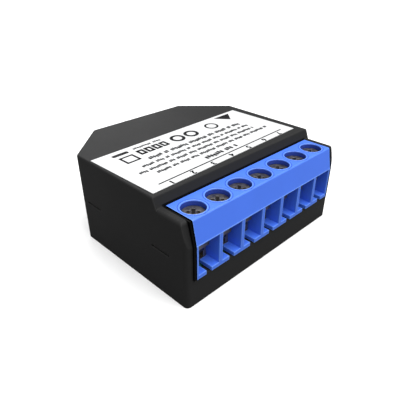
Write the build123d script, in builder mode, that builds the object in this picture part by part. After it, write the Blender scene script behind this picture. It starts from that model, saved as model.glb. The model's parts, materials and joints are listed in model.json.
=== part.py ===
from build123d import *
from math import radians, sin
import os

# Smart relay module: two relays, their supply and their controller in a case for a wall box.
# Lengths are in millimetres. X runs along the row of terminals, the wires enter from -Y and +Z is up.
# The origin is the middle of the underside.

os.makedirs("parts", exist_ok=True)

# Shared by all cuts and fits
overrun = 1.0  # how far a cut runs past what it cuts
slip = 0.05  # gap between pieces that slide together and stay put
running = 0.03  # radial gap of a shaft that turns

# Clamp screws
thread_radius = 1.0
head_radius = 1.8
head_height = 2.65
head_recess = 0.8  # from the block's top down to the head
recess_span = 2.0
recess_width = 0.6
recess_depth = 0.9
recess_taper = 12.0  # degrees
recess_turn = 45.0  # degrees

# Contact bars
bar_thickness = 0.75
bar_side_gap = 0.15
tail_width = 1.0
tail_below_board = 1.35

# Rising cages
cage_wall = 0.6
cage_floor = 0.55
cage_top = 1.25
cage_side_gap = 0.13
cage_lift_gap = 0.1  # above the board, with the clamp open
cage_bar_gap = 0.1
cage_headroom = 0.15  # above the cage, with the clamp shut
cage_nose = 0.25  # metal in front of the thread
cage_behind = 0.7  # metal behind the thread
cage_bend = 0.35
cage_hole_sides = 12
wire_space = 1.6
closing_gap = 0.1  # what is left of the wire space with the clamp shut
cage_travel = wire_space - closing_gap

# Terminal block
poles = 7
pole_pitch = 5.08
partition = 0.72
end_wall = 0.35
rear_wall = 0.6
well_web = 0.65  # between a screw's head and its cage
well_gap = 0.15
well_rim = 0.15
well_front = 0.38  # block in front of the rim
web_hole_sides = 8
web_gap = 0.15
cell_floor = 0.7
floor_depth = 2.7
floor_notch = 1.15
band_lean = 0.87
block_edge = 0.15
block_proud = 0.4  # how far the block stands out of the case

# Case
wall = 1.55
roof = 1.2
lip = 1.2  # wall behind the terminal block
block_side_gap = 0.18
block_back_gap = 0.15
sill_gap = 0.15
corner_cut_x = 8.5
corner_cut_y = 8.15
cut_start = 0.15  # the cuts begin this far in front of the relays' back
corner_radius = 0.8
rim_radius = 0.3
shoulder_radius = 0.6
shoulder_drop = 0.1
step_run = 0.7
cheek_flat = 0.25  # between the corners' rounding and the cheeks' slope
cheek_rim = 0.3  # thickness of the rims that hide the block's ends
rim_set_back = 0.05  # from the block's front
lip_drop = 0.8

# Base cover and its snap arms
cover_thickness = 1.2
cover_gap = 0.1
snap_from_front = 5.84
snap_from_cut = 3.5
snap_side_gap = 0.3
snap_thickness = 0.7
snap_gap = 0.1
snap_tip = 0.35  # arm above the slit's middle
slit_z = 8.2
slit_length = 4.0
slit_height = 0.4
nose_gap = 0.05
nose_recess = 0.15
post_side = 2.0
post_inset = 2.6

# Board
board_lift = 2.35
board_thickness = 1.6
board_gap = 0.2
rib_width = 0.6
rib_reach = 0.5

# Relays
relay_length = 20.0
relay_wall = 0.5
relay_edge = 0.4
relay_gap = 0.3
relay_front_gap = 0.1
relay_headroom = 0.55
relay_floor = 1.0
yoke_thickness = 0.8
yoke_end_gap = 0.4
flange = 6.4
flange_thickness = 0.6
tube_wall = 0.4
core_side = 2.6
pole_side = 3.8
pole_thickness = 0.5
pole_gap = 0.45
coil_inset = 0.2
coil_edge = 0.9
coil_side_gap = 0.7
armature_thickness = 0.7
armature_inset = 0.2  # from the flanges' sides
armature_rise = 0.15  # above the flanges
armature_edge = 0.4
armature_angle = 4.0  # degrees, from open to shut
spring_thickness = 0.2
spring_width = 3.0
spring_foot = 0.95  # from the relay's floor to the spring's lower end
contact_half = 0.4
contact_headroom = 0.25
contact_length = 0.85
fixed_length = 0.4
contact_closed_gap = 0.06
blade_thickness = 0.4
blade_width = 3.0
blade_height = 4.0
blade_space = 0.8
leg_thickness = 0.4
leg_width = 1.2
leg_gap = 0.2
arm_thickness = 0.5
pin_side = 0.5
pin_height = 2.0
pin_margin = 0.4
pin_below_board = 1.2

# Power parts
part_gap = 0.3
can_length = 8.5
can_edge = 0.4
strip_width = 7.2  # each strip beside the relays
lead_side = 0.5
lead_spacing = 2.5
lead_reach = 0.7
lead_below_board = 1.0
drum_height = 7.0
drum_flange = 1.0
drum_post = 1.4
drum_winding_inset = 0.4
disc_thickness = 2.6
disc_edge = 0.8
disc_lift = 0.6
resistor_radius = 1.1
resistor_length = 5.0
bridge_width = 3.9
bridge_length = 4.6
bridge_height = 2.4
bridge_edge = 0.3
output_radius = 2.2
output_height = 8.0

# Chips and small parts on the underside
chips_from = 2.8  # from the relays' front to the first chips' legs
chip_edge = 0.15
chip_leg_width = 0.4
chip_leg_reach = 0.8
chip_leg_height = 0.2
chip_leg_pitch = 1.27
controller_side = 5.0
controller_height = 0.85
memory_length = 5.0
memory_width = 3.9
memory_height = 1.5
memory_legs = 4
meter_length = 9.9
meter_legs = 7
crystal_length = 3.2
crystal_width = 2.5
crystal_height = 0.8
shunt_length = 6.3
shunt_width = 3.2
shunt_height = 0.6
sensor_length = 1.6
sensor_width = 0.8

# Service socket and reset button
service_x = -4.5
service_pins = 7
service_pitch = 1.27
service_body_depth = 4.6
service_body_height = 2.2
service_end = 0.1
service_recess = 0.2
service_gap = 0.15
socket_side = 0.5
contact_side = 0.4
socket_depth = 1.8
contact_tail_reach = 0.4
reset_x = 6.3
reset_width = 6.0
reset_depth = 3.6
reset_height = 3.4
reset_stem_radius = 0.95
reset_foot = 2.6
reset_foot_thickness = 0.5
reset_plate = 0.3
reset_back_gap = 0.25
reset_travel = 0.3
reset_recess = 0.3
reset_hole_gap = 0.2

# Label
label_width = 36.3
label_depth = 15.8
label_thickness = 0.1
label_x = -0.75
label_y = -1.5
label_turn = 1.6  # degrees: it is stuck on a little askew

# Relays, from the inside out
relay_width = flange + 2 * (coil_side_gap + leg_thickness + leg_gap + relay_wall)
armature_reach = flange / 2 + armature_rise
coil_axis = relay_floor + yoke_thickness + slip + flange / 2
contact_height = coil_axis + armature_reach + slip + contact_half
relay_height = contact_height + contact_half + contact_headroom + relay_wall

# Heights, from the underside up
board_bottom = cover_thickness + board_lift
board_top = board_bottom + board_thickness
cage_z = board_top + cage_lift_gap
wire_floor_z = cage_z + cage_floor
bar_z = wire_floor_z + wire_space
bar_top = bar_z + bar_thickness
cage_plate_z = bar_top + cage_bar_gap
cage_top_z = cage_plate_z + cage_top
cell_top = cage_top_z + cage_travel + cage_headroom
well_floor = cell_top + well_web
head_z = well_floor + slip
head_top = head_z + head_height
block_top = head_top + head_recess
shoulder_z = block_top - shoulder_drop
roof_z = board_top + relay_height + relay_headroom
housing_height = roof_z + roof

# Widths, out from the middle
block_length = poles * pole_pitch - partition + 2 * end_wall
cell_width = pole_pitch - partition
cage_width = cell_width - 2 * cage_side_gap
bar_width = cage_width - 2 * (cage_wall + bar_side_gap)
bay_half = block_length / 2 + block_side_gap
strip_from = relay_width + relay_gap / 2 + part_gap
strip_to = strip_from + strip_width
strip_mid = (strip_from + strip_to) / 2
strip_half = strip_width / 2
inner_half = max(bay_half, strip_to + part_gap)
half_width = inner_half + wall

# Depths, from the front to the back
lead_half = lead_side / 2
well_radius = head_radius + well_gap
screw_set_back = band_lean + well_front + well_rim + well_radius
cage_rear = thread_radius + cage_behind
cheek_lean = corner_radius + cheek_flat
block_depth = screw_set_back + cage_rear + cage_bar_gap + bar_thickness + slip + rear_wall
can_pitch = slip + can_length + lead_reach + lead_half + part_gap
supply_length = 4 * part_gap + strip_width + disc_thickness + bridge_length + 2 * output_radius
room_length = max(relay_length, 2 * can_pitch, supply_length)
total_depth = block_depth + block_back_gap + lip + relay_front_gap + room_length + corner_cut_y - cut_start
back_y = total_depth / 2
block_front = -back_y
block_back = block_front + block_depth
front_y = block_front + block_proud
front_inside = front_y + wall
screw_y = block_front + screw_set_back
floor_back = block_front + floor_depth
cage_back = screw_y + cage_rear
tail_y = cage_back + cage_bar_gap
chamber_back = block_back - rear_wall
step_y = block_back + block_back_gap
lip_inside = step_y + lip
relay_y = lip_inside + relay_front_gap
relay_back = relay_y + relay_length
inside_back = back_y - wall
board_back = inside_back - board_gap

pole_xs = [(i - (poles - 1) / 2) * pole_pitch for i in range(poles)]
board_slots = []  # holes for tails and leads, as (x, y, width, depth)


def span(low, high, mode=Mode.ADD):
    """A block between two opposite corners, in the part being built."""
    size = [b - a for a, b in zip(low, high)]
    middle = [(a + b) / 2 for a, b in zip(low, high)]
    with Locations(Vector(*middle)):
        Box(*size, mode=mode)


def finish(builder, name):
    """Name a finished piece and write it."""
    builder.part.label = name
    export_step(builder.part, f"parts/{name}.step")


def case_plan(inset, radius=0):
    """Plan of the case, drawn in by inset all round, with its corners rounded by radius."""
    with BuildSketch() as plan:
        with BuildLine():
            Polyline(
                (half_width, front_y),
                (half_width, back_y - corner_cut_y),
                (half_width - corner_cut_x, back_y),
                (corner_cut_x - half_width, back_y),
                (-half_width, back_y - corner_cut_y),
                (-half_width, front_y),
                close=True,
            )
        make_face()
        if inset:
            offset(amount=-inset, kind=Kind.INTERSECTION)
        if radius:
            fillet(plan.vertices(), radius)
    return plan.sketch


def rod(x, z, radius, start, end, mode=Mode.ADD):
    """A round bar along Y from start to end, in the part being built."""
    with Locations(Location((x, (start + end) / 2, z), (90, 0, 0))):
        Cylinder(radius, end - start, mode=mode)


def lead(x, y, top):
    """A square lead from top down through the board, whose hole is noted."""
    board_slots.append((x, y, lead_side, lead_side))
    low = (x - lead_half, y - lead_half, board_bottom - lead_below_board)
    span(low, (x + lead_half, y + lead_half, top))


# Housing: a shell open below, stepped down at the front round the terminal block
snap_front_y = front_y + snap_from_front
snap_back_y = back_y - corner_cut_y - snap_from_cut
snap_places = [(side, y) for side in (-1, 1) for y in (snap_front_y, snap_back_y)]
snap_width = slit_length - 2 * snap_side_gap
nose_height = slit_height - 2 * nose_gap
arm_inside = inner_half + slip
arm_outside = arm_inside + snap_thickness
arm_top = slit_z + snap_tip
pocket_outside = arm_outside + snap_gap
service_half = (service_pins * service_pitch) / 2 + service_end
service_top = board_top + service_body_height
reset_z = board_top + reset_height / 2

with BuildPart() as cavity:
    with BuildSketch(Plane.YZ) as cavity_side:
        with BuildLine():
            Polyline(
                (front_inside, -overrun),
                (front_inside, shoulder_z - lip_drop),
                (lip_inside, shoulder_z - lip_drop),
                (lip_inside, roof_z),
                (back_y, roof_z),
                (back_y, -overrun),
                close=True,
            )
        make_face()
    extrude(amount=half_width, both=True)
    with BuildSketch(Plane.XY.offset(-overrun)):
        add(case_plan(wall))
    extrude(amount=housing_height + overrun, mode=Mode.INTERSECT)

with BuildPart() as housing_body:
    with BuildSketch(Plane.YZ) as case_side:
        with BuildLine():
            Polyline(
                (front_y, 0),
                (front_y, cell_top),
                (front_y + cheek_lean, shoulder_z),
                (step_y, shoulder_z),
                (step_y + step_run, housing_height),
                (back_y, housing_height),
                (back_y, 0),
                close=True,
            )
        make_face()
    extrude(amount=half_width, both=True)
    with BuildSketch():
        add(case_plan(0, corner_radius))
    extrude(amount=housing_height, mode=Mode.INTERSECT)
    shoulder = faces().filter_by(Plane.XY).group_by(Axis.Z)[-2][0]
    fillet(shoulder.edges().sort_by(Axis.Y)[:-1], shoulder_radius)
    fillet(faces().sort_by(Axis.Z)[-1].edges(), rim_radius)
    add(cavity.part, mode=Mode.SUBTRACT)
    span(
        (-bay_half, front_y - overrun, board_top - sill_gap),
        (bay_half, step_y, housing_height),
        Mode.SUBTRACT,
    )
    # A thin rim on each cheek follows the block's front and hides the block's end
    rim_front = block_front + rim_set_back
    with BuildSketch(Plane.YZ.offset(-bay_half - cheek_rim), Plane.YZ.offset(bay_half)):
        with BuildLine():
            Polyline(
                (rim_front, board_top - sill_gap),
                (rim_front, cell_top),
                (rim_front + band_lean, shoulder_z),
                (front_y + cheek_lean + wall, shoulder_z),
                (front_inside, board_top - sill_gap),
                close=True,
            )
        make_face()
    extrude(amount=cheek_rim)
    for side, y in snap_places:
        inner, outer = sorted((side * (inner_half - slip), side * pocket_outside))
        span(
            (inner, y - slit_length / 2, -overrun),
            (outer, y + slit_length / 2, arm_top + snap_gap),
            Mode.SUBTRACT,
        )
        inner, outer = sorted((side * inner_half, side * (half_width + overrun)))
        span(
            (inner, y - slit_length / 2, slit_z - slit_height / 2),
            (outer, y + slit_length / 2, slit_z + slit_height / 2),
            Mode.SUBTRACT,
        )
    # Ribs hold the board down: one on each side by the lip and one on the back wall
    rib_z = board_top + slip
    for side in (-1, 1):
        inner, outer = sorted((side * (inner_half - rib_reach), side * (inner_half + slip)))
        span((inner, lip_inside - rib_width, rib_z), (outer, lip_inside, roof_z + slip))
    rib_x = (service_x + service_half + reset_x - reset_width / 2) / 2
    span(
        (rib_x - rib_width / 2, inside_back - rib_reach, rib_z),
        (rib_x + rib_width / 2, inside_back + slip, roof_z + slip),
    )
    span(
        (service_x - service_half - service_gap, inside_back - slip, board_top - service_gap),
        (service_x + service_half + service_gap, back_y + overrun, service_top + service_gap),
        Mode.SUBTRACT,
    )
    stem_hole = reset_stem_radius + reset_hole_gap
    rod(reset_x, reset_z, stem_hole, inside_back - overrun, back_y + overrun, Mode.SUBTRACT)
finish(housing_body, "housing_body")

# Base cover: a plate inside the walls, with posts for the board and four snap arms
with BuildPart() as base_cover:
    with BuildSketch():
        add(case_plan(wall + cover_gap))
    extrude(amount=cover_thickness)
    # Two posts stand between the outer poles' tails and two beside the cut corners
    post_z = (cover_thickness + board_bottom) / 2
    for side in (-1, 1):
        front_post = (side * (pole_xs[-1] - pole_pitch / 2), tail_y + bar_thickness / 2, post_z)
        rear_post = (side * (half_width - corner_cut_x), board_back - post_inset, post_z)
        with Locations(front_post, rear_post):
            Box(post_side, post_side, board_lift)
    for side, y in snap_places:
        low, high = y - snap_width / 2, y + snap_width / 2
        inner, outer = sorted((side * (inner_half - cover_gap - slip), side * arm_outside))
        span((inner, low, 0), (outer, high, cover_thickness))
        inner, outer = sorted((side * arm_inside, side * arm_outside))
        span((inner, low, 0), (outer, high, arm_top))
        with BuildSketch(Plane.XZ.offset(-low)) as nose:
            with BuildLine():
                Polyline(
                    (side * arm_outside, slit_z + nose_height / 2),
                    (side * (half_width - nose_recess), slit_z + nose_height / 2 - nose_recess),
                    (side * (half_width - nose_recess), slit_z - nose_height / 2),
                    (side * arm_outside, slit_z - nose_height / 2),
                    close=True,
                )
            make_face()
        extrude(amount=-snap_width)
finish(base_cover, "base_cover")

# Rating label: a thin film on the top face
with BuildPart() as rating_label:
    with BuildSketch(Plane.XY.offset(housing_height)):
        with Locations(Location((label_x, label_y, 0), (0, 0, label_turn))):
            Rectangle(label_width, label_depth)
    extrude(amount=label_thickness)
finish(rating_label, "rating_label")

# Terminal block: one moulding, with a cell, a chamber and a screw well for each pole
with BuildPart() as terminal_block_body:
    with BuildSketch(Plane.YZ) as block_side:
        with BuildLine():
            Polyline(
                (block_front, board_top),
                (block_front, cell_top),
                (block_front + band_lean, block_top),
                (block_back, block_top),
                (block_back, board_top),
                close=True,
            )
        make_face()
        chamfer(block_side.vertices().group_by(Axis.Y)[-1], block_edge)
    extrude(amount=block_length / 2, both=True)
    for x in pole_xs:
        left, right = x - cell_width / 2, x + cell_width / 2
        span(
            (left, block_front - overrun, board_top + cell_floor),
            (right, chamber_back, cell_top),
            Mode.SUBTRACT,
        )
        span((left, floor_back, board_top - overrun), (right, chamber_back, cell_top), Mode.SUBTRACT)
        span(
            (x - floor_notch / 2, block_front - overrun, board_top - overrun),
            (x + floor_notch / 2, chamber_back, cell_top),
            Mode.SUBTRACT,
        )
    with BuildSketch(Plane.XY.offset(well_floor)):
        with Locations(*[(x, screw_y) for x in pole_xs]):
            Circle(well_radius)
    extrude(amount=block_top - well_floor, mode=Mode.SUBTRACT)
    with BuildSketch(Plane.XY.offset(cell_top)):
        with Locations(*[(x, screw_y) for x in pole_xs]):
            RegularPolygon(thread_radius + web_gap, web_hole_sides, major_radius=False)
    extrude(amount=well_web, mode=Mode.SUBTRACT)
    mouths = faces().sort_by(Axis.Z)[-1].edges().filter_by(GeomType.CIRCLE)
    chamfer(mouths, well_rim)
finish(terminal_block_body, "terminal_block_body")

# Contact bars: each lies in its cage, turns down behind it and ends in a solder tail
bar_front = floor_back - cage_nose
tail_low = board_bottom - tail_below_board
with BuildPart() as contact_bars:
    for x in pole_xs:
        with BuildSketch(Plane.YZ.offset(x)):
            with BuildLine():
                Polyline(
                    (bar_front, bar_z),
                    (bar_front, bar_top),
                    (tail_y + bar_thickness, bar_top),
                    (tail_y + bar_thickness, board_top),
                    (tail_y, board_top),
                    (tail_y, bar_z),
                    close=True,
                )
            make_face()
        extrude(amount=bar_width / 2, both=True)
        span(
            (x - tail_width / 2, tail_y, tail_low),
            (x + tail_width / 2, tail_y + bar_thickness, board_top + overrun),
        )
        board_slots.append((x, tail_y + bar_thickness / 2, tail_width, bar_thickness))
finish(contact_bars, "contact_bars")


def clamp_cage(x, name):
    """A bent frame round the wire space, with the thread in its top."""
    side_front = floor_back + cage_bar_gap
    plate_front = screw_y - thread_radius - cage_nose
    with BuildPart() as cage:
        with BuildSketch(Plane.XZ.offset(-side_front)):
            with Locations((x, (cage_z + cage_top_z) / 2)):
                bent = Rectangle(cage_width, cage_top_z - cage_z)
            chamfer(bent.vertices().group_by(Axis.Z)[0], cage_bend)
        extrude(amount=side_front - cage_back)
        span(
            (x - cage_width / 2 + cage_wall, side_front - overrun, wire_floor_z),
            (x + cage_width / 2 - cage_wall, cage_back + overrun, cage_plate_z),
            Mode.SUBTRACT,
        )
        span(
            (x - cage_width / 2, plate_front, cage_plate_z),
            (x + cage_width / 2, cage_back, cage_top_z),
        )
        with BuildSketch(Plane.XY.offset(cage_plate_z)):
            with Locations((x, screw_y)):
                RegularPolygon(thread_radius + running, cage_hole_sides, major_radius=False)
        extrude(amount=cage_top, mode=Mode.SUBTRACT)
    finish(cage, name)


def clamp_screw(x, name):
    """A screw with a cross recess, which turns in its well and doesn't rise."""
    tip = bar_top + cage_headroom
    with BuildPart() as screw:
        with BuildSketch(Plane.XZ.offset(-screw_y)):
            with BuildLine():
                Polyline(
                    (x, tip),
                    (x + thread_radius, tip),
                    (x + thread_radius, head_z),
                    (x + head_radius, head_z),
                    (x + head_radius, head_top),
                    (x, head_top),
                    close=True,
                )
            make_face()
        revolve(axis=Axis((x, screw_y, 0), (0, 0, 1)))
        with BuildSketch(Plane.XY.offset(head_top)):
            with Locations(Location((x, screw_y, 0), (0, 0, recess_turn))):
                Rectangle(recess_span, recess_width)
                Rectangle(recess_width, recess_span)
        extrude(amount=-recess_depth, taper=recess_taper, mode=Mode.SUBTRACT)
    finish(screw, name)


for number, x in enumerate(pole_xs, 1):
    clamp_cage(x, f"clamp_cage_{number}")
    clamp_screw(x, f"clamp_screw_{number}")


def relay(name, left):
    """A relay with its coil along Y, its armature hinged on the yoke's rear end and its contacts on top."""
    middle = left + relay_width / 2
    right = left + relay_width
    floor_z = board_top + relay_floor
    axis_z = board_top + coil_axis
    yoke_front = relay_y + yoke_end_gap + relay_wall
    blade_rear = relay_back - relay_wall - blade_space
    blade_y = blade_rear - blade_thickness
    spring_y = blade_y - slip - spring_thickness
    armature_y = spring_y - armature_thickness
    pole_face = armature_y - pole_gap
    bobbin_rear = pole_face - pole_thickness - slip
    bobbin_front = yoke_front + yoke_thickness + slip
    armature_top = axis_z + armature_reach
    contact_z = board_top + contact_height
    contact_face = spring_y - contact_length
    pivot_y = armature_y - slip - yoke_thickness / 2
    pivot_z = floor_z + yoke_thickness / 2
    swing = (contact_z - pivot_z) * sin(radians(armature_angle))
    fixed_face = contact_face - swing - contact_closed_gap
    arm_rear = fixed_face - fixed_length
    leg_right = right - relay_wall - leg_gap
    leg_left = leg_right - leg_thickness
    pin_low = board_bottom - pin_below_board
    pin_y = bobbin_front + flange_thickness / 2
    pin_inset = relay_wall + pin_margin + pin_side / 2
    pin_xs = [left + pin_inset, right - pin_inset]

    tube_side = core_side + 2 * (slip + tube_wall)

    def square(side, start, end, mode=Mode.ADD):
        """A square bar about the coil's axis, from start to end."""
        half = side / 2
        span((middle - half, start, axis_z - half), (middle + half, end, axis_z + half), mode)

    # Flat tails through the floor and the board, as (x, y, width, depth)
    tails = [(middle, blade_y + blade_thickness / 2, tail_width, blade_thickness)]
    tails.append(((leg_left + leg_right) / 2, arm_rear - leg_width / 2, leg_thickness, leg_width))
    tails += [(x, pin_y, pin_side, pin_side) for x in pin_xs]
    board_slots.extend(tails)

    with BuildPart() as case:
        with BuildSketch(Plane.XY.offset(board_top)):
            with Locations((middle, (relay_y + relay_back) / 2)):
                outline = Rectangle(relay_width, relay_length)
            chamfer(outline.vertices(), relay_edge)
        extrude(amount=relay_height)
        chamfer(case.faces().sort_by(Axis.Z)[-1].edges(), relay_edge / 2)
        span(
            (left + relay_wall, relay_y + relay_wall, board_top - overrun),
            (right - relay_wall, relay_back - relay_wall, board_top + relay_height - relay_wall),
            Mode.SUBTRACT,
        )
    finish(case, f"{name}_case")

    with BuildPart() as base:
        inset = relay_wall + slip
        span((left + inset, relay_y + inset, board_top), (right - inset, relay_back - inset, floor_z))
        for x, y, width, depth in tails:
            with Locations((x, y, (board_top + floor_z) / 2)):
                Box(width + 2 * slip, depth + 2 * slip, relay_floor + overrun, mode=Mode.SUBTRACT)
    finish(base, f"{name}_base")

    with BuildPart() as yoke:
        with BuildSketch(Plane.YZ.offset(middle)):
            with BuildLine():
                Polyline(
                    (yoke_front, floor_z),
                    (pivot_y, floor_z),
                    (pivot_y, floor_z + yoke_thickness),
                    (yoke_front + yoke_thickness, floor_z + yoke_thickness),
                    (yoke_front + yoke_thickness, axis_z + pole_side / 2),
                    (yoke_front, axis_z + pole_side / 2),
                    close=True,
                )
            make_face()
            with Locations((pivot_y, pivot_z)):
                Circle(yoke_thickness / 2)
        extrude(amount=flange / 2, both=True)
        square(core_side + 2 * slip, yoke_front - overrun, bobbin_front, Mode.SUBTRACT)
    finish(yoke, f"{name}_yoke")

    with BuildPart() as core:
        square(core_side, yoke_front, pole_face)
        square(pole_side, pole_face - pole_thickness, pole_face)
    finish(core, f"{name}_core")

    with BuildPart() as bobbin:
        square(flange, bobbin_front, bobbin_front + flange_thickness)
        square(flange, bobbin_rear - flange_thickness, bobbin_rear)
        square(tube_side, bobbin_front, bobbin_rear)
        square(core_side + 2 * slip, bobbin_front - overrun, bobbin_rear + overrun, Mode.SUBTRACT)
    finish(bobbin, f"{name}_bobbin")

    with BuildPart() as coil:
        coil_front = bobbin_front + flange_thickness + slip
        coil_rear = bobbin_rear - flange_thickness - slip
        square(flange - 2 * coil_inset, coil_front, coil_rear)
        chamfer(edges().filter_by(Axis.Y), coil_edge)
        square(tube_side + 2 * slip, coil_front - overrun, coil_rear + overrun, Mode.SUBTRACT)
    finish(coil, f"{name}_coil")

    with BuildPart() as armature:
        span(
            (middle - flange / 2 + armature_inset, armature_y, floor_z + slip),
            (middle + flange / 2 - armature_inset, spring_y, armature_top),
        )
        chamfer(edges().filter_by(Axis.Y), armature_edge)
    finish(armature, f"{name}_armature")

    with BuildPart() as contact_spring:
        span(
            (middle - spring_width / 2, spring_y, floor_z + spring_foot),
            (middle + spring_width / 2, spring_y + spring_thickness, contact_z + contact_half),
        )
        span(
            (middle - contact_half, contact_face, contact_z - contact_half),
            (middle + contact_half, spring_y, contact_z + contact_half),
        )
    finish(contact_spring, f"{name}_contact_spring")

    with BuildPart() as fixed_contact:
        span(
            (middle - spring_width / 2, arm_rear - arm_thickness, contact_z - contact_half),
            (leg_right, arm_rear, contact_z + contact_half),
        )
        span(
            (leg_left, arm_rear - leg_width, pin_low),
            (leg_right, arm_rear, contact_z + contact_half),
        )
        span(
            (middle - contact_half, arm_rear, contact_z - contact_half),
            (middle + contact_half, fixed_face, contact_z + contact_half),
        )
    finish(fixed_contact, f"{name}_fixed_contact")

    with BuildPart() as terminals:
        span(
            (middle - blade_width / 2, blade_y, floor_z),
            (middle + blade_width / 2, blade_rear, floor_z + blade_height),
        )
        span(
            (middle - tail_width / 2, blade_y, pin_low),
            (middle + tail_width / 2, blade_rear, floor_z),
        )
        for x in pin_xs:
            with Locations((x, pin_y, (pin_low + floor_z + pin_height) / 2)):
                Box(pin_side, pin_side, floor_z + pin_height - pin_low)
    finish(terminals, f"{name}_terminals")


relay("relay_a", -relay_width - relay_gap / 2)
relay("relay_b", relay_gap / 2)

# Bulk capacitors: two cans lying in the left strip, each with its leads bent down
can_radius = strip_half - part_gap
can_z = board_top + slip + can_radius
with BuildPart() as bulk_capacitors:
    for start in (relay_y + slip, relay_y + slip + can_pitch):
        end = start + can_length
        with BuildSketch(Plane.XY.offset(can_z)):
            with BuildLine():
                Polyline(
                    (-strip_mid, start),
                    (can_radius - strip_mid - can_edge, start),
                    (can_radius - strip_mid, start + can_edge),
                    (can_radius - strip_mid, end),
                    (-strip_mid, end),
                    close=True,
                )
            make_face()
        revolve(axis=Axis((-strip_mid, 0, can_z), (0, 1, 0)))
        for side in (-1, 1):
            x = side * lead_spacing / 2 - strip_mid
            span(
                (x - lead_half, end - slip, can_z - lead_half),
                (x + lead_half, end + lead_reach + lead_half, can_z + lead_half),
            )
            lead(x, end + lead_reach, can_z)
finish(bulk_capacitors, "bulk_capacitors")

# Inductor: a drum core on end, wound between its flanges
drum_y = relay_y + part_gap + strip_half
drum_low = board_top + slip
drum_top = drum_low + drum_height
with BuildPart() as inductor_core:
    with BuildSketch(Plane.XZ.offset(-drum_y)):
        with BuildLine():
            Polyline(
                (strip_mid, drum_low),
                (strip_mid + strip_half, drum_low),
                (strip_mid + strip_half, drum_low + drum_flange),
                (strip_mid + drum_post, drum_low + drum_flange),
                (strip_mid + drum_post, drum_top - drum_flange),
                (strip_mid + strip_half, drum_top - drum_flange),
                (strip_mid + strip_half, drum_top),
                (strip_mid, drum_top),
                close=True,
            )
        make_face()
    revolve(axis=Axis((strip_mid, drum_y, 0), (0, 0, 1)))
    for side in (-1, 1):
        lead(strip_mid + side * lead_spacing / 2, drum_y, drum_low + drum_flange / 2)
finish(inductor_core, "inductor_core")

with BuildPart() as inductor_winding:
    with BuildSketch(Plane.XY.offset(drum_low + drum_flange + slip)):
        with Locations((strip_mid, drum_y)):
            Circle(strip_half - drum_winding_inset)
            Circle(drum_post + slip, mode=Mode.SUBTRACT)
    extrude(amount=drum_height - 2 * drum_flange - 2 * slip)
finish(inductor_winding, "inductor_winding")

# Varistor: a coated disc on edge
disc_y = drum_y + strip_half + part_gap + disc_thickness / 2
disc_z = board_top + disc_lift + strip_half
with BuildPart() as varistor:
    rod(strip_mid, disc_z, strip_half, disc_y - disc_thickness / 2, disc_y + disc_thickness / 2)
    chamfer(edges().filter_by(GeomType.CIRCLE), disc_edge)
    for side in (-1, 1):
        lead(strip_mid + side * lead_spacing, disc_y, disc_z - strip_half / 2)
finish(varistor, "varistor")

# Fuse resistor: a small round body along Y, beside the bridge rectifier
supply_y = disc_y + disc_thickness / 2 + part_gap
resistor_x = strip_from + resistor_radius
resistor_z = board_top + part_gap + resistor_radius
resistor_y = supply_y + lead_reach + part_gap
with BuildPart() as fuse_resistor:
    lead_ends = (resistor_y - lead_reach, resistor_y + resistor_length + lead_reach)
    rod(resistor_x, resistor_z, resistor_radius, resistor_y, resistor_y + resistor_length)
    span(
        (resistor_x - lead_half, lead_ends[0] - lead_half, resistor_z - lead_half),
        (resistor_x + lead_half, lead_ends[1] + lead_half, resistor_z + lead_half),
    )
    for y in lead_ends:
        lead(resistor_x, y, resistor_z)
finish(fuse_resistor, "fuse_resistor")

with BuildPart() as bridge_rectifier:
    span(
        (strip_to - bridge_width, supply_y, board_top),
        (strip_to, supply_y + bridge_length, board_top + bridge_height),
    )
    chamfer(faces().sort_by(Axis.Z)[-1].edges(), bridge_edge)
finish(bridge_rectifier, "bridge_rectifier")

# Output capacitor: a can on end
output_x = strip_to - output_radius
output_y = supply_y + bridge_length + part_gap + output_radius
with BuildPart() as output_capacitor:
    with Locations((output_x, output_y, board_top + slip + output_height / 2)):
        Cylinder(output_radius, output_height)
    chamfer(edges().filter_by(GeomType.CIRCLE).sort_by(Axis.Z)[-1], can_edge)
    for side in (-1, 1):
        lead(output_x, output_y + side * lead_spacing / 2, board_top + slip + lead_half)
finish(output_capacitor, "output_capacitor")


def chip(name, x, y, length, width, height, legs):
    """A moulded chip under the board, with a row of legs along each long side."""
    with BuildPart() as body:
        span(
            (x - length / 2, y - width / 2, board_bottom - height),
            (x + length / 2, y + width / 2, board_bottom),
        )
        chamfer(faces().sort_by(Axis.Z)[0].edges(), chip_edge)
        if legs:
            row = width + chip_leg_reach
            with Locations((x, y, board_bottom - chip_leg_height / 2)):
                with GridLocations(chip_leg_pitch, row, legs, 2):
                    Box(chip_leg_width, chip_leg_reach, chip_leg_height)
    finish(body, name)


chip_front = relay_y + chips_from + chip_leg_reach + memory_width / 2
chip_rear = chip_front + memory_width / 2 + chip_leg_reach + part_gap + controller_side / 2
chip_left = -relay_width / 2
chip_right = relay_width / 2
chip("controller_chip", chip_left, chip_rear, controller_side, controller_side, controller_height, 0)
chip("memory_chip", chip_left, chip_front, memory_length, memory_width, memory_height, memory_legs)
chip("meter_chip", chip_right, chip_front, meter_length, memory_width, memory_height, meter_legs)
chip("crystal", chip_right, chip_rear, crystal_length, crystal_width, crystal_height, 0)
chip("temperature_sensor", 0, chip_rear, sensor_length, sensor_width, sensor_width, 0)

with BuildPart() as current_shunts:
    shunt_y = block_back + shunt_width
    for x in (-strip_mid, strip_mid):
        with Locations((x, shunt_y, board_bottom - shunt_height / 2)):
            Box(shunt_length, shunt_width, shunt_height)
finish(current_shunts, "current_shunts")

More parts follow.
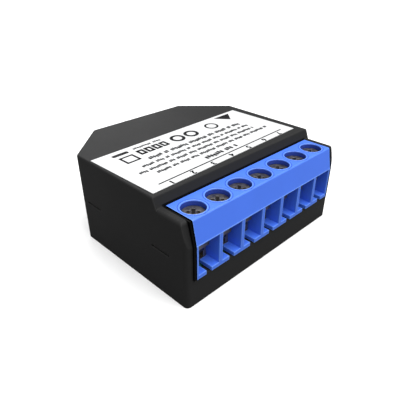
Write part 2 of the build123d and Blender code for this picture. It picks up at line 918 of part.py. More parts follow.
# Service socket: a strip of sockets that ends in a slot of the back wall
service_front = back_y - service_recess - service_body_depth
socket_z = board_top + service_body_height / 2
socket_xs = [service_x + (i - (service_pins - 1) / 2) * service_pitch for i in range(service_pins)]
with BuildPart() as service_header:
    span(
        (service_x - service_half, service_front, board_top),
        (service_x + service_half, back_y - service_recess, service_top),
    )
    for x in socket_xs:
        span(
            (x - socket_side / 2, service_front - overrun, socket_z - socket_side / 2),
            (x + socket_side / 2, back_y + overrun, socket_z + socket_side / 2),
            Mode.SUBTRACT,
        )
finish(service_header, "service_header")

with BuildPart() as service_contacts:
    contact_end = back_y - service_recess - socket_depth
    contact_start = service_front - contact_tail_reach - contact_side
    for x in socket_xs:
        span(
            (x - contact_side / 2, contact_start, socket_z - contact_side / 2),
            (x + contact_side / 2, contact_end, socket_z + contact_side / 2),
        )
        span(
            (x - contact_side / 2, contact_start, board_bottom - pin_below_board),
            (x + contact_side / 2, contact_start + contact_side, socket_z),
        )
        board_slots.append((x, contact_start + contact_side / 2, contact_side, contact_side))
finish(service_contacts, "service_contacts")

# Reset switch, and the button that is caught behind its front plate
reset_back = inside_back - reset_back_gap
plate_inside = reset_back - reset_plate
foot_back = plate_inside - slip
foot_front = foot_back - reset_foot_thickness
room_front = foot_front - reset_travel - slip
with BuildPart() as reset_switch:
    span(
        (reset_x - reset_width / 2, reset_back - reset_depth, board_top),
        (reset_x + reset_width / 2, reset_back, board_top + reset_height),
    )
    foot_room = reset_foot / 2 + slip
    span(
        (reset_x - foot_room, room_front, reset_z - foot_room),
        (reset_x + foot_room, plate_inside, reset_z + foot_room),
        Mode.SUBTRACT,
    )
    rod(reset_x, reset_z, reset_stem_radius + slip, room_front, reset_back + overrun, Mode.SUBTRACT)
finish(reset_switch, "reset_switch")

with BuildPart() as reset_button:
    span(
        (reset_x - reset_foot / 2, foot_front, reset_z - reset_foot / 2),
        (reset_x + reset_foot / 2, foot_back, reset_z + reset_foot / 2),
    )
    rod(reset_x, reset_z, reset_stem_radius, foot_front, back_y - reset_recess)
finish(reset_button, "reset_button")

# Main board: it follows the case's plan and is drilled for every tail and lead
with BuildPart() as main_pcb:
    with BuildSketch(Plane.XY.offset(board_bottom)):
        add(case_plan(wall + board_gap))
    extrude(amount=board_thickness)
    for x, y, width, depth in board_slots:
        with Locations((x, y, (board_bottom + board_top) / 2)):
            Box(width + 2 * slip, depth + 2 * slip, board_thickness + overrun, mode=Mode.SUBTRACT)
finish(main_pcb, "main_pcb")
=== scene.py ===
"""Dresses the smart relay module: materials for every solid, the label's print, studio and camera."""
import json
from itertools import cycle
from math import cos, pi, radians, sin

import bmesh
import bpy
from mathutils import Matrix, Vector


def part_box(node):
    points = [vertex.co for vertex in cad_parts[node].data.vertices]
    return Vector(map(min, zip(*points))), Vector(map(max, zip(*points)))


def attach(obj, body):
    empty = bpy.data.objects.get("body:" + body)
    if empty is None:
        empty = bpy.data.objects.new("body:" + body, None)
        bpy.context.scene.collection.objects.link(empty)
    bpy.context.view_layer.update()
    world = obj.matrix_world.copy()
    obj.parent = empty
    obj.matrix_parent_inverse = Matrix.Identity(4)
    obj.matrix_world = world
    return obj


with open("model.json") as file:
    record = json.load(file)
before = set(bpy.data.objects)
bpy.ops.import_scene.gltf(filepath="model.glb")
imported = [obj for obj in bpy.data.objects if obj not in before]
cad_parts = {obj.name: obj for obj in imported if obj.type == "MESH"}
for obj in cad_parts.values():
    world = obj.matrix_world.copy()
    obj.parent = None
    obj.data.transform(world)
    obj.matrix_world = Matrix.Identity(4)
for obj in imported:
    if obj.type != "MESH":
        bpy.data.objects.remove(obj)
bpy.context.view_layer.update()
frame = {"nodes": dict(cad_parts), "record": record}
record = frame["record"]
mm = 0.001
poles = 7

# Camera
camera_place = Vector((-49.96, -51.69, 46.33)) * mm
camera_target = Vector((-5.44, -7.99, 8.0)) * mm
camera_angle = 53.34  # degrees
camera_roll = 0.49  # degrees
camera_nearest = 1 * mm

# Studio
floor_size = 40.0
floor_shade = 0.95
floor_bounce = 0.2  # how light the floor looks to the module, so that the vertical faces stay deep
floor_drop = 0.02 * mm
floor_roughness = 0.8
floor_wander = 0.0625  # share by which the roughness goes up and down
floor_specular = 0.1
floor_clouds = 8  # to the metre
key_place = Vector((20, -120, 440)) * mm
key_spread = 84.0  # degrees across
key_strength = 4.65
front_place = Vector((60, -420, 150)) * mm
front_size = 260 * mm
front_watts = 0.12
back_place = Vector((200, 420, 260)) * mm
back_size = 260 * mm
back_watts = 0.4
sky_strength = 0.22  # what lights the module
backdrop_strength = 1.0  # what the camera sees

# Finishes, with noise in cells to the metre and lengths in millimetres
noise_range = (0.3, 0.7)  # the part of the noise's values that is spread over a finish
noise_detail = 3.0
cloud_scale = 160
cloud_detail = 4
grain_detail = 2
plating_scale = 700
plating_detail = 5
line_scale = 1500
line_wander = 0.25
edge_samples = 6
edge_highlight_samples = 8
edge_highlight_range = (1.0, 0.5)  # openness inside the solid, from no painted highlight to full painted highlight
edge_highlight_reach = 1.5  # how far in from an edge, in radii of the edge
wire_colour = (0.6, 0.24, 0.09)
wire_roughness = 0.3
wire_metallic = 0.7
wire_coat = 0.4
wire_pitch = 0.25
wire_groove_shade = 0.55  # painted shade between two turns, as a share of the wire's colour
wire_relief = 0.05
# The lighter edge colours given to the case and the block are a painted highlight on their outer edges
plastics = {
    "case_plastic": dict(
        colour=(0.0208, 0.0208, 0.021), roughness=0.5, depth=0.012, edge=0.2, wander=0.04,
        specular=0.1, edge_highlight=(0.03, 0.03, 0.03),
    ),
    "label_film": dict(
        colour=(0.66, 0.665, 0.67), roughness=0.42, grain=2500, depth=0.002, edge=0.03, wander=0.02,
    ),
    "block_plastic": dict(
        colour=(0.066, 0.185, 0.83), roughness=0.38, grain=5000, depth=0.004, edge=0.14, wander=0.06,
        specular=0.35, edge_highlight=(0.15, 0.33, 0.95),
    ),
    "board_laminate": dict(
        colour=(0.008, 0.06, 0.028), roughness=0.35, grain=1500, edge=0.05, wander=0.25, coat=0.3,
    ),
    "relay_plastic": dict(colour=(0.03, 0.03, 0.034), roughness=0.4, edge=0.15),
    "bobbin_plastic": dict(colour=(0.7, 0.67, 0.58), roughness=0.5),
    "can_sleeve": dict(
        colour=(0.02, 0.035, 0.09), roughness=0.25, grain=1800, depth=0.006, edge=0.2, wander=0.15, coat=0.4,
    ),
    "ferrite": dict(colour=(0.055, 0.055, 0.06), roughness=0.6, grain=4000, depth=0.02, wander=0.2),
    "blue_epoxy": dict(
        colour=(0.03, 0.09, 0.36), roughness=0.2, grain=900, depth=0.02, edge=0.3, coat=0.5,
    ),
    "chip_plastic": dict(colour=(0.022, 0.022, 0.023), roughness=0.55, grain=6000, depth=0.015, edge=0.06),
    # A lighter blue as a painted highlight, on the wells' lip beads and the band's edge
    "block_edge": dict(
        colour=(0.16, 0.34, 0.95), roughness=0.25, grain=5000, depth=0.002, edge=0.02, wander=0.04,
        specular=0.6,
    ),
    # A deep blue as a painted shadow, on the fine ring round each well
    "block_shade": dict(
        colour=(0.014, 0.04, 0.28), roughness=0.5, grain=5000, depth=0.002, edge=0.02, wander=0.04,
        specular=0.2,
    ),
    "print_ink": dict(
        colour=(0.006, 0.006, 0.007), roughness=0.6, grain=9000, depth=0.003, edge=0.005, wander=0.3,
        specular=0.1,
    ),
}
metals = {
    "screw_steel": dict(
        colour=(0.17, 0.16, 0.155), roughness=0.42, stretch=(1, 1, 1), depth=0.006, edge=0.1, wander=0.35,
    ),
    "cage_steel": dict(colour=(0.36, 0.31, 0.24), roughness=0.48),
    "tinned_metal": dict(colour=(0.1, 0.096, 0.09), roughness=0.38, stretch=(6, 1, 1), depth=0.002),
    "soft_iron": dict(colour=(0.4, 0.4, 0.39), roughness=0.42, stretch=(1, 6, 1), depth=0.002),
    "spring_bronze": dict(colour=(0.6, 0.38, 0.16), roughness=0.36, stretch=(6, 1, 1), depth=0.002),
    "crystal_can": dict(colour=(0.66, 0.65, 0.62), roughness=0.25),
    "socket_gold": dict(colour=(0.8, 0.55, 0.18), roughness=0.25),
}
wires = {  # with the axis about which each is wound
    "copper_wire": dict(axis="Y"),
    "upright_wire": dict(axis="Z"),
}

# Painted shadow, painted shade and painted highlight laid on the solids by place, in millimetres
face_touch = 0.01  # how near to a face of the block a point counts as on it
zone_beyond = 1.0  # how far a zone goes on past the block's faces, or below its top
pole_pitch = 5.08
# Painted shadow in the gap round the block: near black on the case beside and behind the block, and on the
# block's end faces
shadow_side_gap = 0.18  # between the block's end and the case
shadow_width = 0.3  # on each cheek, beside the block's end
shadow_height = 0.17  # on the wall behind the block
shadow_depth = 0.4
shadow_overlap = 0.05  # how far before the case's faces the painted shadow's zones start
painted_shadow_colour = (0.001, 0.001, 0.0012)
well_wall_beyond = 0.17  # from the screw's head out to just behind the well's wall
well_shade_colour = (0.026, 0.061, 0.38)
screw_head_height = 2.65
recess_reach = 0.6  # from the screw's axis
recess_depth = 0.9
recess_lip = 0.04  # from the head's face down to where the recess's painted highlight starts
recess_highlight_colour = (0.4, 0.4, 0.45)
floor_overlap = 0.1  # how far the wells' and recesses' zones go below their floors

# Rings round each screw well, a painted highlight and a painted shadow, and a painted highlight along the
# band's lower edge, in millimetres
lip_beyond = 0.25  # from the screw's head out to the lip bead on the well's chamfer, coloured as a painted highlight
lip_bead = 0.06
groove_beyond = 0.52  # from the screw's head out to the fine ring of painted groove shadow
groove_bead = 0.055
bead_sunk = 0.6  # how far a bead's middle lies below the block's top, in radii of the bead
bead_sides = 8
bead_steps = 48
edge_height = 0.16
edge_bevel_start = 0.7  # share of the edge's height where its bevel starts
edge_bevel_end = 0.4  # share of the edge's depth where its bevel ends
edge_sunk = 0.02  # how far the edge goes into the band

# Label and its print, in millimetres from the label's middle, with v towards the back
label_turn = 1.6  # degrees
ink_thickness = 0.02
bar_cut = 0.2  # size of a bar's cut corners, as a share of its shorter side
rule_v = -6.42
rule_reach = 15.8
rule_width = 0.27
number_v = -7.33
number_size = 1.5
number_shifts = ((-0.09, 0.04), (0, -0.04), (0.09, 0.04))  # three prints, a little apart, make it bold
number_pitch = 4.63
number_from = -13.95
stroke_share = 0.8  # how much of a stroke's pitch is inked
stroke_lift = 0.12  # how far every second stroke stands off its row, as a share of the height
text_rows = [  # (v, from u, to u, height, strokes' pitch, strokes in each word, over and over)
    (1.6, -10.7, 12.6, 1.1, 0.5, (6, 2, 8, 9, 3)),
    (-0.1, -13.5, 13.2, 0.85, 0.42, (6, 4, 2, 8, 2, 5)),
    (-1.7, -15.4, 12.9, 0.85, 0.42, (4, 9, 3, 6)),
    (-3.3, -13.1, 15.3, 0.85, 0.42, (7, 3, 5, 4, 9)),
    (-5.15, -3.9, 3.7, 1.2, 0.62, (7, 3)),
    (6.6, -10.2, -4.0, 0.7, 0.45, (9, 5)),
]
mark_bar = (-13.3, 6.35, 3.3, 0.85)  # (u, v, width, height)
triangle = (13.4, 5.75, 4.5, 2.7)  # (u, v, width, height), with its point towards the terminals
mark_frames = [  # (u, v, width, height, line)
    (-13.2, 3.75, 2.9, 2.7, 0.42),
    (-10.0, 4.6, 1.45, 2.0, 0.5),
    (-8.3, 4.6, 1.45, 2.0, 0.5),
    (-6.6, 4.6, 1.45, 2.0, 0.5),
    (-4.9, 4.6, 1.45, 2.0, 0.5),
]
mark_rings = [  # (u, v, radius, line)
    (-1.4, 4.75, 1.5, 0.62),
    (2.0, 4.6, 1.5, 0.62),
    (7.7, 4.6, 1.45, 0.42),
]
ring_sides = 40


def principled(tree):
    """The inputs of a material's shader."""
    return tree.nodes["Principled BSDF"].inputs


def new_material(name, colour, roughness, metallic=0.0, coat=0.0, specular=0.5):
    """A material with its shader's plain values set."""
    made = bpy.data.materials.new(name)
    made.use_nodes = True
    inputs = principled(made.node_tree)
    inputs["Base Color"].default_value = (*colour, 1)
    inputs["Roughness"].default_value = roughness
    inputs["Metallic"].default_value = metallic
    inputs["Coat Weight"].default_value = coat
    inputs["Specular IOR Level"].default_value = specular
    return made


def feed(tree, value, socket):
    """Links a socket to another one, or sets it to a plain value."""
    if isinstance(value, bpy.types.NodeSocket):
        tree.links.new(value, socket)
    else:
        socket.default_value = value


def add_noise(tree, scale, detail=noise_detail, stretch=(1, 1, 1)):
    """Noise fixed to the object, with its cells about 1/scale metres across."""
    place = tree.nodes.new("ShaderNodeTexCoord")
    mapping = tree.nodes.new("ShaderNodeMapping")
    mapping.inputs["Scale"].default_value = stretch
    noise = tree.nodes.new("ShaderNodeTexNoise")
    noise.inputs["Scale"].default_value = scale
    noise.inputs["Detail"].default_value = detail
    tree.links.new(place.outputs["Object"], mapping.inputs["Vector"])
    tree.links.new(mapping.outputs["Vector"], noise.inputs["Vector"])
    return noise.outputs["Fac"]


def map_range(tree, value, source, target=(0.0, 1.0)):
    """A value carried over from one range to another."""
    node = tree.nodes.new("ShaderNodeMapRange")
    for name, number in zip(("From Min", "From Max", "To Min", "To Max"), (*source, *target)):
        node.inputs[name].default_value = number
    tree.links.new(value, node.inputs["Value"])
    return node.outputs["Result"]


def mix_colours(tree, share, first, second):
    """A colour between two others, each of them a socket or four plain values."""
    mix = tree.nodes.new("ShaderNodeMix")
    mix.data_type = "RGBA"
    for name, value in (("Factor", share), ("A", first), ("B", second)):
        feed(tree, value, mix.inputs[name])
    return mix.outputs["Result"]


def add_mottle(tree, share, dark, light):
    """Lets the base colour wander between two colours."""
    tree.links.new(mix_colours(tree, share, (*dark, 1), (*light, 1)), principled(tree)["Base Color"])


def lay_over(tree, share, colour):
    """Lays a colour over what feeds the base colour, by a share from 0 to 1."""
    base = principled(tree)["Base Color"]
    under = base.links[0].from_socket
    tree.links.new(mix_colours(tree, share, under, (*colour, 1)), base)


def add_gloss(tree, noise, roughness, wander):
    """Lets the roughness go up and down by a share of itself."""
    spread = map_range(tree, noise, noise_range, (roughness * (1 - wander), roughness * (1 + wander)))
    tree.links.new(spread, principled(tree)["Roughness"])


def add_wear(tree, edge_highlight, reach):
    """Paints a highlight on the outer edges, towards a lighter colour, as far in as reach, in millimetres."""
    inside = tree.nodes.new("ShaderNodeAmbientOcclusion")
    inside.inside = True
    inside.only_local = True
    inside.samples = edge_highlight_samples
    inside.inputs["Distance"].default_value = reach * mm
    lay_over(tree, map_range(tree, inside.outputs["AO"], edge_highlight_range), edge_highlight)


def add_relief(tree, noise, depth, edge):
    """Grain of a given depth over edges rounded by a given radius, both in millimetres."""
    rounded = tree.nodes.new("ShaderNodeBevel")
    rounded.samples = edge_samples
    rounded.inputs["Radius"].default_value = edge * mm
    bump = tree.nodes.new("ShaderNodeBump")
    bump.inputs["Distance"].default_value = depth * mm
    tree.links.new(noise, bump.inputs["Height"])
    tree.links.new(rounded.outputs["Normal"], bump.inputs["Normal"])
    tree.links.new(bump.outputs["Normal"], principled(tree)["Normal"])


def shades(colour, wander):
    """A darker and a lighter shade of a colour, each a share of it away."""
    dark = [c * (1 - wander) for c in colour]
    light = [min(1, c * (1 + wander)) for c in colour]
    return dark, light


def plastic(
    name, colour, roughness, grain=7000, depth=0.01, edge=0.12, wander=0.12, coat=0.0, specular=0.5, edge_highlight=None
):
    """Moulded plastic: a spark-eroded grain, slightly uneven gloss and colour, and a painted highlight on the
    outer edges.
    """
    made = new_material(name, colour, roughness, coat=coat, specular=specular)
    tree = made.node_tree
    clouds = add_noise(tree, cloud_scale, cloud_detail)
    add_mottle(tree, clouds, *shades(colour, wander))
    if edge_highlight:
        add_wear(tree, edge_highlight, edge_highlight_reach * edge)
    add_gloss(tree, clouds, roughness, wander)
    add_relief(tree, add_noise(tree, grain, grain_detail), depth, edge)
    return made


def metal(name, colour, roughness, stretch=(1, 1, 12), depth=0.004, edge=0.06, wander=0.2):
    """Plated or drawn metal: fine lines along one axis and uneven plating."""
    made = new_material(name, colour, roughness, metallic=1.0)
    tree = made.node_tree
    add_mottle(tree, add_noise(tree, plating_scale, plating_detail), *shades(colour, wander))
    lines = add_noise(tree, line_scale, stretch=stretch)
    add_gloss(tree, lines, roughness, line_wander)
    add_relief(tree, lines, depth, edge)
    return made


def wire(name, axis):
    """Enamelled wire wound side by side, seen as ridges across one axis."""
    made = new_material(name, wire_colour, wire_roughness, metallic=wire_metallic, coat=wire_coat)
    tree = made.node_tree
    place = tree.nodes.new("ShaderNodeTexCoord")
    wave = tree.nodes.new("ShaderNodeTexWave")
    wave.bands_direction = axis
    wave.inputs["Scale"].default_value = pi / (10 * wire_pitch * mm)  # a scale of 1 repeats every pi / 10
    tree.links.new(place.outputs["Object"], wave.inputs["Vector"])
    # Painted shade: the colour darkens between the turns
    add_mottle(tree, wave.outputs["Fac"], [c * wire_groove_shade for c in wire_colour], wire_colour)
    bump = tree.nodes.new("ShaderNodeBump")
    bump.inputs["Distance"].default_value = wire_relief * mm
    tree.links.new(wave.outputs["Fac"], bump.inputs["Height"])
    tree.links.new(bump.outputs["Normal"], principled(tree)["Normal"])
    return made


def make_materials():
    """One material for each of the record's slots, and those of the upright winding and the added pieces."""
    makers = ((plastic, plastics), (metal, metals), (wire, wires))
    return {name: make(name, **values) for make, finishes in makers for name, values in finishes.items()}


def object_place(tree):
    """The three object coordinates, in metres."""
    place = tree.nodes.new("ShaderNodeTexCoord")
    parts = tree.nodes.new("ShaderNodeSeparateXYZ")
    tree.links.new(place.outputs["Object"], parts.inputs["Vector"])
    return parts.outputs


def add_math(tree, operation, *values):
    """A Math node on sockets and numbers, and its result."""
    node = tree.nodes.new("ShaderNodeMath")
    node.operation = operation
    for value, socket in zip(values, node.inputs):
        feed(tree, value, socket)
    return node.outputs["Value"]


def add_box_zone(tree, low, high):
    """1 between two corners in object coordinates and in their mirror image across X, and 0 elsewhere."""
    x, y, z = object_place(tree)
    zone = 1.0
    for value, start, end in zip((add_math(tree, "ABSOLUTE", x), y, z), low, high):
        inside = add_math(tree, "COMPARE", value, (start + end) / 2, (end - start) / 2)
        zone = add_math(tree, "MULTIPLY", inside, zone)
    return zone


def add_pole_zone(tree, screw_y, radius, low, high):
    """1 within a radius of any screw's axis and between two heights, and 0 elsewhere."""
    x, y, z = object_place(tree)
    across = add_math(tree, "PINGPONG", x, pole_pitch * mm / 2)
    along = add_math(tree, "SUBTRACT", y, screw_y)
    squares = [add_math(tree, "POWER", value, 2.0) for value in (across, along)]
    near = add_math(tree, "LESS_THAN", add_math(tree, "ADD", *squares), radius ** 2)
    level = add_math(tree, "COMPARE", z, (low + high) / 2, (high - low) / 2)
    return add_math(tree, "MULTIPLY", near, level)


def read_block():
    """The terminal block's two corners, the points of its solid, and the heights of those on its front."""
    low, high = (Vector(corner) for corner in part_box("terminal_block_body"))
    solid = frame["nodes"]["terminal_block_body"]
    points = [solid.matrix_world @ vertex.co for vertex in solid.data.vertices]
    return low, high, points, [point.z for point in points if point.y < low.y + face_touch * mm]


def paint_solids(materials):
    """The painted shadow in the gap round the block, painted shade on the wells' deep walls and a painted
    highlight in the middles of the screws' recesses.
    """
    low, high, points, front = read_block()
    past = zone_beyond * mm
    end = high.x + shadow_side_gap * mm
    shadow_end = end + shadow_width * mm
    overlap = shadow_overlap * mm
    # Painted shadow on the case beside the block's ends and on the wall behind the block
    beside = ((end - overlap, low.y - past, min(front)), (shadow_end, high.y, high.z + past))
    behind = (
        (0, high.y - overlap, high.z - past),
        (shadow_end, high.y + shadow_depth * mm, high.z + shadow_height * mm),
    )
    case = materials["case_plastic"].node_tree
    for corners in (beside, behind):
        lay_over(case, add_box_zone(case, *corners), painted_shadow_colour)
    screw_low, screw_high = (Vector(corner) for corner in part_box("clamp_screw_1"))
    screw_y = (screw_low.y + screw_high.y) / 2
    wall = (screw_high.x - screw_low.x) / 2 + well_wall_beyond * mm
    well_floor = screw_high.z - screw_head_height * mm
    # Painted shade on the deep walls of the screw wells
    block = materials["block_plastic"].node_tree
    wells = add_pole_zone(block, screw_y, wall, well_floor - floor_overlap * mm, high.z + past)
    lay_over(block, wells, well_shade_colour)
    # Painted shadow on the block's own end faces
    ends = ((high.x - face_touch * mm, low.y - past, 0), (high.x + past, high.y + past, high.z + past))
    lay_over(block, add_box_zone(block, *ends), painted_shadow_colour)
    # Painted highlight on the metal in the middle of each screw's recess
    recess_floor = screw_high.z - (recess_depth + floor_overlap) * mm
    screw = materials["screw_steel"].node_tree
    recess = add_pole_zone(screw, screw_y, recess_reach * mm, recess_floor, screw_high.z - recess_lip * mm)
    lay_over(screw, recess, recess_highlight_colour)


def dress_solids(materials):
    """Gives every solid the material of its slot. The inductor's wire is wound about an upright axis."""
    for subpart in record["subparts"]:
        node = subpart["node"]
        name = "upright_wire" if node == "inductor_winding" else subpart["material_slot"]
        for slot in frame["nodes"][node].material_slots:
            slot.material = materials[name]


def new_object(name, mesh, material):
    """An object from a bmesh, with one material."""
    data = bpy.data.meshes.new(name)
    mesh.to_mesh(data)
    mesh.free()
    data.materials.append(material)
    made = bpy.data.objects.new(name, data)
    bpy.context.scene.collection.objects.link(made)
    return made


def new_piece(name, mesh, material):
    """A piece of the dressed model, which rides on the module."""
    piece = new_object(name, mesh, material)
    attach(piece, "module")


def add_prism(mesh, outline):
    """A layer of ink with a closed outline of (u, v), in millimetres."""
    low = [mesh.verts.new((u, v, 0)) for u, v in outline]
    high = [mesh.verts.new((u, v, ink_thickness)) for u, v in outline]
    mesh.faces.new(high)
    mesh.faces.new(low[::-1])
    for i in range(len(outline)):
        j = (i + 1) % len(outline)
        mesh.faces.new((low[i], low[j], high[j], high[i]))


def add_bar(mesh, u, v, width, height):
    """A bar of ink about a middle, with cut corners."""
    cut = min(width, height) * bar_cut
    a, b = width / 2, height / 2
    corners = [(a - cut, -b), (a, cut - b), (a, b - cut), (a - cut, b)]
    corners += [(cut - a, b), (-a, b - cut), (-a, cut - b), (cut - a, -b)]
    add_prism(mesh, [(u + x, v + y) for x, y in corners])


def add_ring(mesh, u, v, radius, line):
    """A ring of ink, as a strip of four-sided blocks."""
    inner = radius - line
    for i in range(ring_sides):
        a, b = [2 * pi * k / ring_sides for k in (i, i + 1)]
        corners = [(inner, a), (radius, a), (radius, b), (inner, b)]
        add_prism(mesh, [(u + r * cos(t), v + r * sin(t)) for r, t in corners])


def add_words(mesh, v, start, end, height, pitch, words):
    """A row of strokes in place of a line of text. Every second one stands a little above or below it."""
    u = start
    for strokes in cycle(words):
        for stroke in range(strokes):
            if u < end:
                lift = height * stroke_lift * (-1) ** (stroke // 2)
                add_bar(mesh, u, v + lift * (stroke % 2), pitch * stroke_share, height - 2 * abs(lift))
            u += pitch
        u += pitch
        if u >= end:
            break


def label_matrix():
    """From the label's own millimetres to the frame, on the film's upper face."""
    low, high = (Vector(corner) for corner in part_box("rating_label"))
    middle = (low + high) / 2
    middle.z = high.z
    return Matrix.Translation(middle) @ Matrix.Rotation(radians(label_turn), 4, "Z") @ Matrix.Scale(mm, 4)


def print_label(ink):
    """Plain bars, frames and rings stand where the photographed label has its words and marks."""
    mesh = bmesh.new()
    add_bar(mesh, 0, rule_v, 2 * rule_reach, rule_width)
    for row in text_rows:
        add_words(mesh, *row)
    add_bar(mesh, *mark_bar)
    u, v, width, height = triangle
    add_prism(mesh, [(u - width / 2, v + height / 2), (u, v - height / 2), (u + width / 2, v + height / 2)])
    for u, v, width, height, line in mark_frames:
        for side in (-1, 1):
            add_bar(mesh, u + side * (width - line) / 2, v, line, height)
            add_bar(mesh, u, v + side * (height - line) / 2, width, line)
    for ring in mark_rings:
        add_ring(mesh, *ring)
    mesh.transform(label_matrix())
    bmesh.ops.recalc_face_normals(mesh, faces=mesh.faces)
    new_piece("label_print", mesh, ink)


def number_mesh(number):
    """A plain number, as thick as the ink."""
    curve = bpy.data.curves.new(f"number_{number}", "FONT")
    curve.body = str(number)
    curve.size = number_size
    curve.align_x = "CENTER"
    curve.align_y = "CENTER"
    curve.extrude = ink_thickness / 2
    text = bpy.data.objects.new(f"number_{number}_text", curve)
    bpy.context.scene.collection.objects.link(text)
    bpy.context.view_layer.update()
    data = bpy.data.meshes.new_from_object(text)
    bpy.data.objects.remove(text)
    return data


def print_numbers(ink):
    """Numbers 1 to 7 beside the terminals, to be read from the back as in the photograph."""
    for number in range(1, poles + 1):
        data = number_mesh(number)
        mesh = bmesh.new()
        for u, v in number_shifts:
            mesh.from_mesh(data)
            bmesh.ops.translate(mesh, vec=(u, v, 0), verts=mesh.verts[-len(data.vertices):])
        bpy.data.meshes.remove(data)
        across = [vertex.co.x for vertex in mesh.verts]
        along = [vertex.co.y for vertex in mesh.verts]
        centre = Vector((min(across) + max(across), min(along) + max(along), 0)) / 2
        u = number_from + (number - 1) * number_pitch
        place = Matrix.Translation((u, number_v, ink_thickness / 2)) @ Matrix.Rotation(pi, 4, "Z")
        mesh.transform(label_matrix() @ place @ Matrix.Translation(-centre))
        new_piece(f"label_number_{number}", mesh, ink)


def add_bead(mesh, middle, radius, bead):
    """A round bead bent into a closed ring, with its radii in millimetres."""
    rings = []
    for step in range(bead_steps):
        turn = 2 * pi * step / bead_steps
        ring = []
        for side in range(bead_sides):
            lean = 2 * pi * side / bead_sides
            reach = (radius + bead * cos(lean)) * mm
            offset = Vector((reach * cos(turn), reach * sin(turn), bead * mm * sin(lean)))
            ring.append(mesh.verts.new(middle + offset))
        rings.append(ring)
    for step in range(bead_steps):
        a, b = rings[step], rings[(step + 1) % bead_steps]
        for side in range(bead_sides):
            after = (side + 1) % bead_sides
            face = mesh.faces.new((a[side], b[side], b[after], a[after]))
            face.smooth = True


def add_well_rings(bright, dark):
    """A lip bead of painted highlight on each screw well's chamfer, and a fine ring of painted groove shadow
    outside it.
    """
    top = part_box("terminal_block_body")[1][2]
    for number in range(1, poles + 1):
        low, high = (Vector(corner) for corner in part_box(f"clamp_screw_{number}"))
        head = (high.x - low.x) / 2 / mm
        middle = (low + high) / 2
        middle.z = top
        for name, beyond, bead, material in (
            ("lip", lip_beyond, lip_bead, bright),
            ("ring", groove_beyond, groove_bead, dark),
        ):
            mesh = bmesh.new()
            add_bead(mesh, middle - Vector((0, 0, bead * mm * bead_sunk)), head + beyond, bead)
            new_piece(f"well_{name}_{number}", mesh, material)


def add_band_edge(material):
    """The bevelled edge at the foot of the block's sloping band, from end to end of the block, lighter blue
    as a painted highlight.
    """
    low, high, points, front = read_block()
    foot = max(front)
    lean = max(point.z for point in points) - foot
    back = min(point.y for point in points if point.z > high.z - face_touch * mm) - low.y
    rise = edge_height * mm
    depth = back * rise / lean
    sunk = edge_sunk * mm
    section = [
        (0, 0),
        (0, rise * edge_bevel_start),
        (depth * edge_bevel_end, rise),
        (depth + sunk, rise),
        (sunk, 0),
    ]
    mesh = bmesh.new()
    ends = [[mesh.verts.new((x, low.y + y, foot + z)) for y, z in section] for x in (low.x, high.x)]
    for end in ends:
        mesh.faces.new(end)
    for i in range(len(section)):
        j = (i + 1) % len(section)
        mesh.faces.new((ends[0][i], ends[1][i], ends[1][j], ends[0][j]))
    bmesh.ops.recalc_face_normals(mesh, faces=mesh.faces)
    new_piece("band_edge", mesh, material)


def add_floor():
    """A plain pale floor that is darker to the module than it is to the camera."""
    made = new_material("studio_floor", (floor_shade,) * 3, floor_roughness, specular=floor_specular)
    tree = made.node_tree
    seen = tree.nodes.new("ShaderNodeLightPath")
    bounce, shade = ((value, value, value, 1) for value in (floor_bounce, floor_shade))
    mixed = mix_colours(tree, seen.outputs["Is Camera Ray"], bounce, shade)
    tree.links.new(mixed, principled(tree)["Base Color"])
    add_gloss(tree, add_noise(tree, floor_clouds), floor_roughness, floor_wander)
    mesh = bmesh.new()
    bmesh.ops.create_grid(mesh, x_segments=1, y_segments=1, size=floor_size / 2)
    floor = new_object("studio_floor", mesh, made)
    floor.location.z = -floor_drop


def aim_light(data, place):
    """Puts a light in its place, turned to the module."""
    lamp = bpy.data.objects.new(data.name, data)
    lamp.location = place
    lamp.rotation_euler = (camera_target - place).to_track_quat("-Z", "Y").to_euler()
    bpy.context.scene.collection.objects.link(lamp)


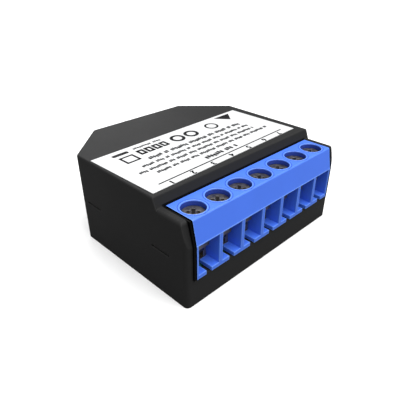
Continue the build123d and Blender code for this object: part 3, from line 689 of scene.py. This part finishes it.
def add_key():
    """A broad sun, so that the floor is as bright far away as it is near the module."""
    data = bpy.data.lights.new("key", "SUN")
    data.angle = radians(key_spread)
    data.energy = key_strength
    aim_light(data, key_place)


def add_light(name, place, size, watts):
    """A square soft box that faces the module."""
    data = bpy.data.lights.new(name, "AREA")
    data.size = size
    data.energy = watts
    aim_light(data, place)


def add_surroundings():
    """White all round for the camera, and dimmer for the module."""
    world = bpy.data.worlds.new("studio")
    world.use_nodes = True
    nodes, links = world.node_tree.nodes, world.node_tree.links
    sky = nodes["Background"]
    backdrop = nodes.new("ShaderNodeBackground")
    for background, strength in ((sky, sky_strength), (backdrop, backdrop_strength)):
        background.inputs["Color"].default_value = (1, 1, 1, 1)
        background.inputs["Strength"].default_value = strength
    seen = nodes.new("ShaderNodeLightPath")
    mix = nodes.new("ShaderNodeMixShader")
    outputs = (seen.outputs["Is Camera Ray"], sky.outputs[0], backdrop.outputs[0])
    for output, socket in zip(outputs, mix.inputs):
        links.new(output, socket)
    links.new(mix.outputs[0], nodes["World Output"].inputs["Surface"])
    bpy.context.scene.world = world


def build_studio():
    """The floor, the lights and the surroundings, with colours shown as they are."""
    add_floor()
    add_key()
    add_light("front", front_place, front_size, front_watts)
    add_light("back", back_place, back_size, back_watts)
    add_surroundings()
    bpy.context.scene.view_settings.view_transform = "Standard"


def add_camera():
    """The photograph's viewpoint."""
    data = bpy.data.cameras.new("photo_camera")
    data.sensor_fit = "HORIZONTAL"
    data.angle = radians(camera_angle)
    data.clip_start = camera_nearest
    camera = bpy.data.objects.new("photo_camera", data)
    aim = (camera_target - camera_place).to_track_quat("-Z", "Y").to_matrix().to_4x4()
    roll = Matrix.Rotation(radians(camera_roll), 4, "Z")
    camera.matrix_world = Matrix.Translation(camera_place) @ aim @ roll
    bpy.context.scene.collection.objects.link(camera)
    bpy.context.scene.camera = camera


materials = make_materials()
paint_solids(materials)
dress_solids(materials)
print_label(materials["print_ink"])
print_numbers(materials["print_ink"])
add_well_rings(materials["block_edge"], materials["block_shade"])
add_band_edge(materials["block_edge"])
build_studio()
add_camera()
